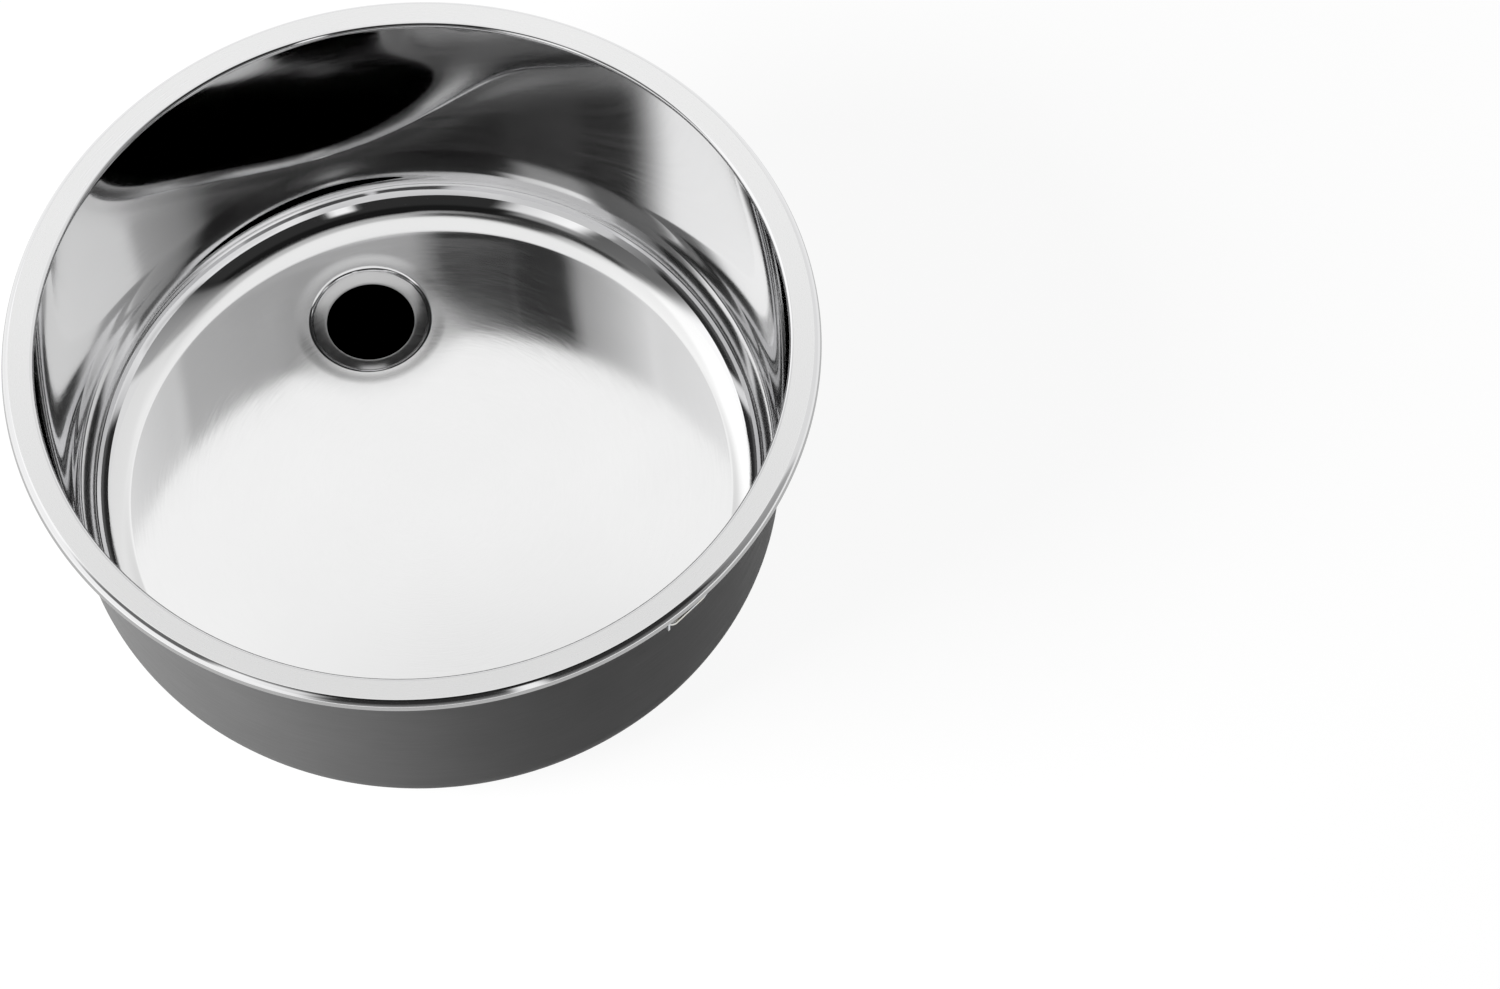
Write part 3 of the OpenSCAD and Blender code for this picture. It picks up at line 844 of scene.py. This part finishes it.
def shade_paint():
    """The dark that shows through the drain hole."""
    made, tree, skin = new_material("Drain Shade")
    plug(tree, skin, {"Base Color": (0, 0, 0, 1), "Specular IOR Level": 0})
    one_sided(tree, skin.outputs[0])
    return made


def dome_paint():
    """Glows as its mesh's own light value says."""
    made, tree, _ = new_material("Light Dome")
    light = node(tree, "ShaderNodeAttribute", attribute_name="light").outputs["Fac"]
    glow = node(tree, "ShaderNodeEmission", {"Strength": light})
    tree.links.new(glow.outputs[0], tree.nodes["Material Output"].inputs["Surface"])
    made.cycles.emission_sampling = "NONE"
    return made


def soft_edge(inside, soft):
    """From 0 to 1 as a point goes in over an edge, which is this soft on either side of it."""
    u = min(max((inside + soft) / (2 * soft), 0.0), 1.0)
    return u * u * (3 - 2 * u)


def card_light(turn, up):
    """The light that the steel sees from one direction, given in degrees."""
    level = 1.0
    for start, end, side_soft, low, high, edge_soft, first, last in CARDS.values():
        at = turn + 360 if turn < start - side_soft and end > 180 else turn
        cover = (soft_edge(at - start, side_soft) * soft_edge(end - at, side_soft)
                 * soft_edge(up - low, edge_soft) * soft_edge(high - up, edge_soft))
        share = min(max((at - start) / (end - start), 0.0), 1.0)
        level += (first + (last - first) * share - level) * cover
    return level


# Operators

class SINK_OT_shell(bpy.types.Operator):
    """Build the pressed shell with its polished wall, satin flange and floor"""
    bl_idname = "sink.shell"
    bl_label = "Build Shell"

    def execute(self, context):
        size = context.scene.sink_bowl
        grain = turning_grain()
        satin = steel("Satin Flange", grain, size.satin, rough=(0.27, 0.285), depth=1e-7,
                      around=14.0, across=2600.0, tone=0.02)
        wall = steel("Polished Wall", grain, size.polished, rough=(0.02, 0.05), depth=8e-7,
                     wave=wall_wave())
        step = steel("Polished Step", grain, size.polished, rough=(0.05, 0.09), depth=2e-7)
        edge = steel("Polished Edge", grain, size.polished, rough=(0.06, 0.10), depth=3e-7)
        # Dull lip: a real dull finish with a darkened colour that is painted shade
        lip = steel("Dull Lip With Painted Shade", grain, size.lip, rough=(0.18, 0.26), depth=1e-6)
        floor = steel("Satin Floor", grain, size.satin, rough=(0.09, 0.14), depth=7e-6,
                      across=1300.0, haze=drain_haze())
        ring = steel("Dull Ring", grain, size.ring, rough=(0.20, 0.26), depth=1e-6)
        # Unpolished outside: a real dull finish, and a dark grey colour with metal and reflection
        # turned down that is painted shade
        outside = steel("Unpolished Outside With Painted Shade", grain, size.outside, rough=(0.48, 0.62), depth=4e-6,
                        tone=0.2, metallic=0.0, specular=0.1)
        finishes = {"lip": lip, "edge": edge, "flange": satin, "mouth": wall, "wall": wall,
                    "floor": floor, "step": step, "seat": ring, "hole": edge, "outside": outside}
        shell = revolve("shell", rings_of(size), size.around, finishes)
        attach(shell, "base")
        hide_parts("bowl_shell")
        return {"FINISHED"}


class SINK_OT_plating(bpy.types.Operator):
    """Give the brackets, collars, arms and the earth tag their zinc plate"""
    bl_idname = "sink.plating"
    bl_label = "Plate Clamps"

    def execute(self, context):
        zinc = zinc_plate(context.scene.sink_clamps, plate_patches())
        for name, made in frame["nodes"].items():
            if name.split("_")[0] in PLATED:
                made.data.materials.clear()
                made.data.materials.append(zinc)
        return {"FINISHED"}


class SINK_OT_screws(bpy.types.Operator):
    """Build the four threaded clamp screws with their cross slots"""
    bl_idname = "sink.screws"
    bl_label = "Build Screws"

    def execute(self, context):
        part = context.scene.sink_clamps
        zinc = bpy.data.materials["Zinc Plate"]
        for i, side in enumerate(SIDES):
            low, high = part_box("screw_" + side)
            head_r = (high.x - low.x) / 2
            verts, faces = lathe(screw_rings(part, head_r, low.z, high.z))
            screw = new_piece("screw_thread_" + side, verts, faces, zinc)
            cutter = self.cross(part, low.z, zinc)
            cut = screw.modifiers.new("slot", "BOOLEAN")
            cut.object, cut.operation, cut.solver = cutter, "DIFFERENCE", "EXACT"
            apply_modifiers(screw)
            bpy.data.objects.remove(cutter)
            screw.data.materials.clear()
            screw.data.materials.append(zinc)
            turn = Matrix.Rotation(part.first_turn + i * math.pi / 2, 4, "Z")
            middle = Vector(((low.x + high.x) / 2, (low.y + high.y) / 2, 0.0))
            screw.data.transform(Matrix.Translation(middle) @ turn)
            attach(screw, "screw_" + side)
            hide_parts("screw_" + side)
        return {"FINISHED"}

    def cross(self, part, low, paint):
        """The cross that is cut into the head, standing a little out of it."""
        half, width = part.slot_l / 2, part.slot_w / 2
        outline = [(half, -width), (half, width), (width, width), (width, half), (-width, half),
                   (-width, width), (-half, width), (-half, -width), (-width, -width),
                   (-width, -half), (width, -half), (width, -width)]
        ends = (low - CUTTER_STAND, low + part.slot_d)
        verts, faces = lathe([[(x, y, z) for x, y in outline] for z in ends])
        return new_piece("cross_cutter", verts, faces, paint)


class SINK_OT_nuts(bpy.types.Operator):
    """Build the four chamfered nuts under the brackets"""
    bl_idname = "sink.nuts"
    bl_label = "Build Nuts"

    def execute(self, context):
        part = context.scene.sink_clamps
        low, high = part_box("weld_nuts")
        verts, faces = [], []
        for i, side in enumerate(SIDES):
            at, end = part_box("screw_" + side)
            turn = part.first_turn + i * math.pi / 2
            points, sides = lathe(nut_rings(part, low.z, high.z, turn), False, False)
            faces += [tuple(k + len(verts) for k in face) for face in sides]
            verts += [(x + (at.x + end.x) / 2, y + (at.y + end.y) / 2, z) for x, y, z in points]
        nuts = new_piece("hex_nuts", verts, faces, bpy.data.materials["Zinc Plate"], NUT_SHARP)
        bm = bmesh.new()
        bm.from_mesh(nuts.data)
        bmesh.ops.remove_doubles(bm, verts=bm.verts, dist=WELD)
        bmesh.ops.recalc_face_normals(bm, faces=bm.faces)
        bm.to_mesh(nuts.data)
        bm.free()
        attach(nuts, "base")
        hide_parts("weld_nuts")
        return {"FINISHED"}


class SINK_OT_seal(bpy.types.Operator):
    """Build the foam strip under the flange, with the joint where its ends meet"""
    bl_idname = "sink.seal"
    bl_label = "Build Seal"

    def execute(self, context):
        size, soft = context.scene.sink_bowl, context.scene.sink_soft
        low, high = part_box("rim_seal")
        outer, base, top = high.x, low.z, high.z
        inner, edge = outer - soft.seal_w, soft.seal_round
        fall = size.flange_fall / size.flange_w
        left, right = inner + edge, outer - edge
        section = []
        for x, z, start in ((left, base + edge, 180), (right, base + edge, -90),
                            (right, top - edge - fall * edge, 0),
                            (left, top - edge - fall * (outer - inner - edge), 90)):
            section += arc(x, z, edge, start, start + 90, SOFT_EDGE_STEPS)
        mid = (inner + outer) / 2
        gap = soft.seal_joint / outer
        rings = []
        for i in range(SEAL_AROUND + 1):
            a = math.pi / 2 + gap / 2 + (2 * math.pi - gap) * i / SEAL_AROUND
            wave = math.sin(SEAL_WAVES * a + DRIFT * math.sin(DRIFT_WAVES * a))
            share = 1.0 - SEAL_SHRINK * (0.5 + 0.5 * wave)
            rings.append([((mid + (r - mid) * share) * math.cos(a),
                           (mid + (r - mid) * share) * math.sin(a), z) for r, z in section])
        verts, faces = lathe(rings)
        foam = cellular("Closed Foam", cell_skin(), soft.foam, soft.foam_fleck,
                        rough=(0.83, 0.95), depth=1.2e-4)
        seal = new_piece("foam_strip", verts, faces, foam, SOFT_SHARP)
        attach(seal, "base")
        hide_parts("rim_seal")
        return {"FINISHED"}


class SINK_OT_pad(bpy.types.Operator):
    """Build the damping pad under the floor"""
    bl_idname = "sink.pad"
    bl_label = "Build Pad"

    def execute(self, context):
        soft = context.scene.sink_soft
        low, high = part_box("sound_pad")
        r, edge = soft.pad_corner, soft.pad_edge
        middle = (low + high) / 2
        half = (high - low) / 2
        corners = ((half.x - r, half.y - r, 0), (r - half.x, half.y - r, 90),
                   (r - half.x, r - half.y, 180), (half.x - r, r - half.y, 270))

        def outline(inset, z):
            points = [p for x, y, a in corners
                      for p in arc(x, y, r - inset, a, a + 90, PAD_CORNER_STEPS)]
            return [(middle.x + x, middle.y + y, z) for x, y in points]

        bend = arc(0, 0, edge, 0, 90, SOFT_EDGE_STEPS)
        rings = [outline(edge - out, low.z + edge - up) for out, up in reversed(bend)]
        rings += [outline(edge - out, high.z - edge + up) for out, up in bend]
        verts, faces = lathe(rings)
        bitumen = cellular("Bitumen Sheet", bpy.data.node_groups["Cell Skin"], soft.bitumen,
                           soft.bitumen_fleck, rough=(0.70, 0.82), depth=2.0e-4,
                           Cell_Size=420.0, Fleck_Size=1300.0)
        pad = new_piece("damping_pad", verts, faces, bitumen, SOFT_SHARP)
        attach(pad, "base")
        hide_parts("sound_pad")
        return {"FINISHED"}


class SINK_OT_stage(bpy.types.Operator):
    """Set up the white floor, the soft light and the camera"""
    bl_idname = "sink.stage"
    bl_label = "Set Up Studio"

    def execute(self, context):
        stage = context.scene.sink_stage
        self.floor(stage)
        self.dome(stage)
        self.lamp(stage)
        self.world(stage)
        self.camera(stage)
        context.scene.view_settings.view_transform = "Standard"
        return {"FINISHED"}

    def floor(self, stage):
        """A white floor that mostly glows by itself but keeps the bowl's shadow."""
        paper, tree, skin = new_material("Studio Floor")
        plug(tree, skin, {"Base Color": (*stage.paper, 1), "Roughness": 0.9})
        strength = math_node(tree, "MULTIPLY", seen_directly(tree), FLOOR_GLOW)
        glow = node(tree, "ShaderNodeEmission", {"Strength": strength})
        blend = node(tree, "ShaderNodeMixShader", {
            0: FLOOR_SHARE, 1: skin.outputs[0], 2: glow.outputs[0]})
        one_sided(tree, blend.outputs[0])
        paper.cycles.emission_sampling = "NONE"
        disc("studio_floor", stage.floor_r, FLOOR_Z, paper)
        shade = disc("drain_shade", SHADE_R, SHADE_Z, shade_paint())
        shade.location.y = DRAIN["pos_m"][1]

    def dome(self, stage):
        """A far dome that only the steel sees, painted with the cards."""
        front = math.atan2(stage.camera_at[1], stage.camera_at[0])
        rows = round((DOME_HIGH - DOME_LOW) / DOME_STEP)
        wide = round(360 / DOME_STEP)
        verts, light = [], []
        for i in range(rows + 1):
            up = DOME_LOW + i * DOME_STEP
            e = math.radians(up)
            for j in range(wide):
                turn = -180 + j * DOME_STEP
                a = front + math.radians(turn)
                verts.append((stage.dome_r * math.cos(e) * math.cos(a),
                              stage.dome_r * math.cos(e) * math.sin(a), stage.dome_r * math.sin(e)))
                light.append(card_light(turn, up))
        faces = [(i * wide + j, i * wide + (j + 1) % wide, (i + 1) * wide + (j + 1) % wide,
                  (i + 1) * wide + j) for i in range(rows) for j in range(wide)]
        made = stage_piece("light_dome", verts, faces, dome_paint())
        made.data.attributes.new("light", "FLOAT", "POINT").data.foreach_set("value", light)
        made.visible_camera = made.visible_diffuse = made.visible_shadow = False

    def lamp(self, stage):
        """A wide soft lamp at the left, for the dull outside and the shadow."""
        light = bpy.data.lights.new("side_lamp", "AREA")
        light.energy = stage.lamp_power
        light.size = stage.lamp_w
        made = linked("side_lamp", light)
        a = math.atan2(stage.camera_at[1], stage.camera_at[0]) + stage.lamp_turn
        place = Vector((stage.lamp_away * math.cos(a), stage.lamp_away * math.sin(a),
                        stage.lamp_up))
        aim = Vector((0.0, 0.0, RIM_Z / 2)) - place
        turn = aim.to_track_quat("-Z", "Y").to_matrix().to_4x4()
        made.matrix_world = Matrix.Translation(place) @ turn
        made.visible_glossy = False

    def world(self, stage):
        """White where it is seen, and a plain even light for everything dull."""
        world = bpy.data.worlds.new("Studio")
        bpy.context.scene.world = world
        world.use_nodes = True
        world.cycles.sampling_method = "NONE"
        tree = world.node_tree
        plug(tree, tree.nodes["Background"], {
            "Strength": math_node(tree, "MAXIMUM", seen_directly(tree), stage.ambient),
            "Color": (1, 1, 1, 1)})

    def camera(self, stage):
        lens = bpy.data.cameras.new("camera")
        lens.lens = stage.lens
        lens.sensor_width = stage.frame_w
        made = linked("camera", lens)
        turn = (Matrix.Rotation(stage.look_round, 4, "Z")
                @ Matrix.Rotation(math.pi / 2 - stage.look_down, 4, "X")
                @ Matrix.Rotation(stage.roll, 4, "Z"))
        made.matrix_world = Matrix.Translation(stage.camera_at) @ turn
        bpy.context.scene.camera = made


class SINK_PT_panel(bpy.types.Panel):
    """Lists the steps that build the bowl"""
    bl_idname = "SINK_PT_panel"
    bl_label = "Sink Bowl"
    bl_space_type = "VIEW_3D"
    bl_region_type = "UI"
    bl_category = "Sink Bowl"

    def draw(self, context):
        for step in STEPS:
            self.layout.operator(step.bl_idname)


STEPS = (SINK_OT_shell, SINK_OT_plating, SINK_OT_screws, SINK_OT_nuts, SINK_OT_seal, SINK_OT_pad,
         SINK_OT_stage)
SETTINGS = {"sink_bowl": BowlSizes, "sink_clamps": ClampSizes, "sink_soft": SoftSizes,
            "sink_stage": StageSizes}
CLASSES = (*SETTINGS.values(), *STEPS, SINK_PT_panel)


def register():
    for made in CLASSES:
        bpy.utils.register_class(made)
    for name, kind in SETTINGS.items():
        setattr(bpy.types.Scene, name, PointerProperty(type=kind))


def unregister():
    for name in reversed(SETTINGS):
        delattr(bpy.types.Scene, name)
    for made in reversed(CLASSES):
        bpy.utils.unregister_class(made)


def main():
    register()
    bpy.ops.sink.shell()
    bpy.ops.sink.plating()
    bpy.ops.sink.screws()
    bpy.ops.sink.nuts()
    bpy.ops.sink.seal()
    bpy.ops.sink.pad()
    bpy.ops.sink.stage()


if __name__ == "__main__":
    main()
